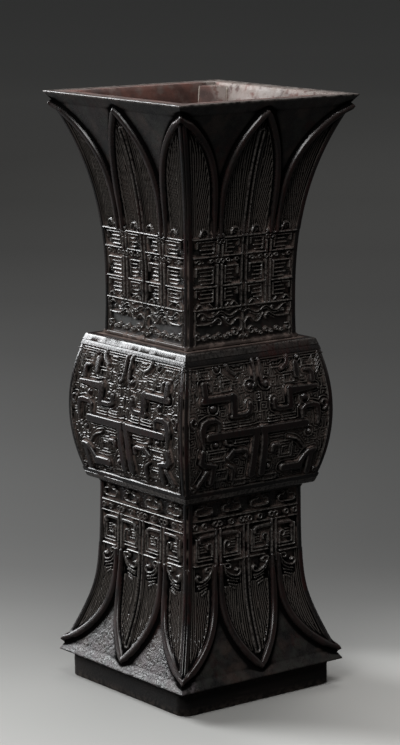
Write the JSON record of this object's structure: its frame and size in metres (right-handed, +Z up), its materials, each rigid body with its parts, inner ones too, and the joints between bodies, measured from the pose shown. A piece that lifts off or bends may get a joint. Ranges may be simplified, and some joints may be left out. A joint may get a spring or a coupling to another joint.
{
  "type": "horn gu vase",
  "caption": "Square horn vase of archaic gu form: flared neck, bulging belly and skirted stem of carved mitred panels, joined by corner strips on a plinth board.",
  "frame": {"origin": "centre of the plinth's underside, on the surface the vase stands on", "axes": "+Z up along the axis of the vase, front panels facing -Y, right panels facing +X"},
  "size_m": [0.0894, 0.0894, 0.24],
  "materials": {
    "carved_horn": "semi-gloss polished dark horn, worn on the raised edges and dusty in the carving",
    "inner_horn": "scraped, unpolished brown horn with pale glue lines",
    "dark_wood": "matte, rubbed dark hardwood"
  },
  "bodies": {
    "root": {"neck_panel_front": "carved_horn", "neck_panel_right": "carved_horn", "neck_panel_back": "carved_horn", "neck_panel_left": "carved_horn", "shoulder_strip_front": "carved_horn", "shoulder_strip_right": "carved_horn", "shoulder_strip_back": "carved_horn", "shoulder_strip_left": "carved_horn", "belly_panel_front": "carved_horn", "belly_panel_right": "carved_horn", "belly_panel_back": "carved_horn", "belly_panel_left": "carved_horn", "base_strip_front": "carved_horn", "base_strip_right": "carved_horn", "base_strip_back": "carved_horn", "base_strip_left": "carved_horn", "stem_panel_front": "carved_horn", "stem_panel_right": "carved_horn", "stem_panel_back": "carved_horn", "stem_panel_left": "carved_horn", "neck_corner_strip_front_left": "inner_horn", "neck_corner_strip_front_right": "inner_horn", "neck_corner_strip_back_right": "inner_horn", "neck_corner_strip_back_left": "inner_horn", "belly_corner_strip_front_left": "inner_horn", "belly_corner_strip_front_right": "inner_horn", "belly_corner_strip_back_right": "inner_horn", "belly_corner_strip_back_left": "inner_horn", "stem_corner_strip_front_left": "inner_horn", "stem_corner_strip_front_right": "inner_horn", "stem_corner_strip_back_right": "inner_horn", "stem_corner_strip_back_left": "inner_horn", "vessel_floor": "inner_horn", "plinth_board": "dark_wood"}
  },
  "joints": []
}
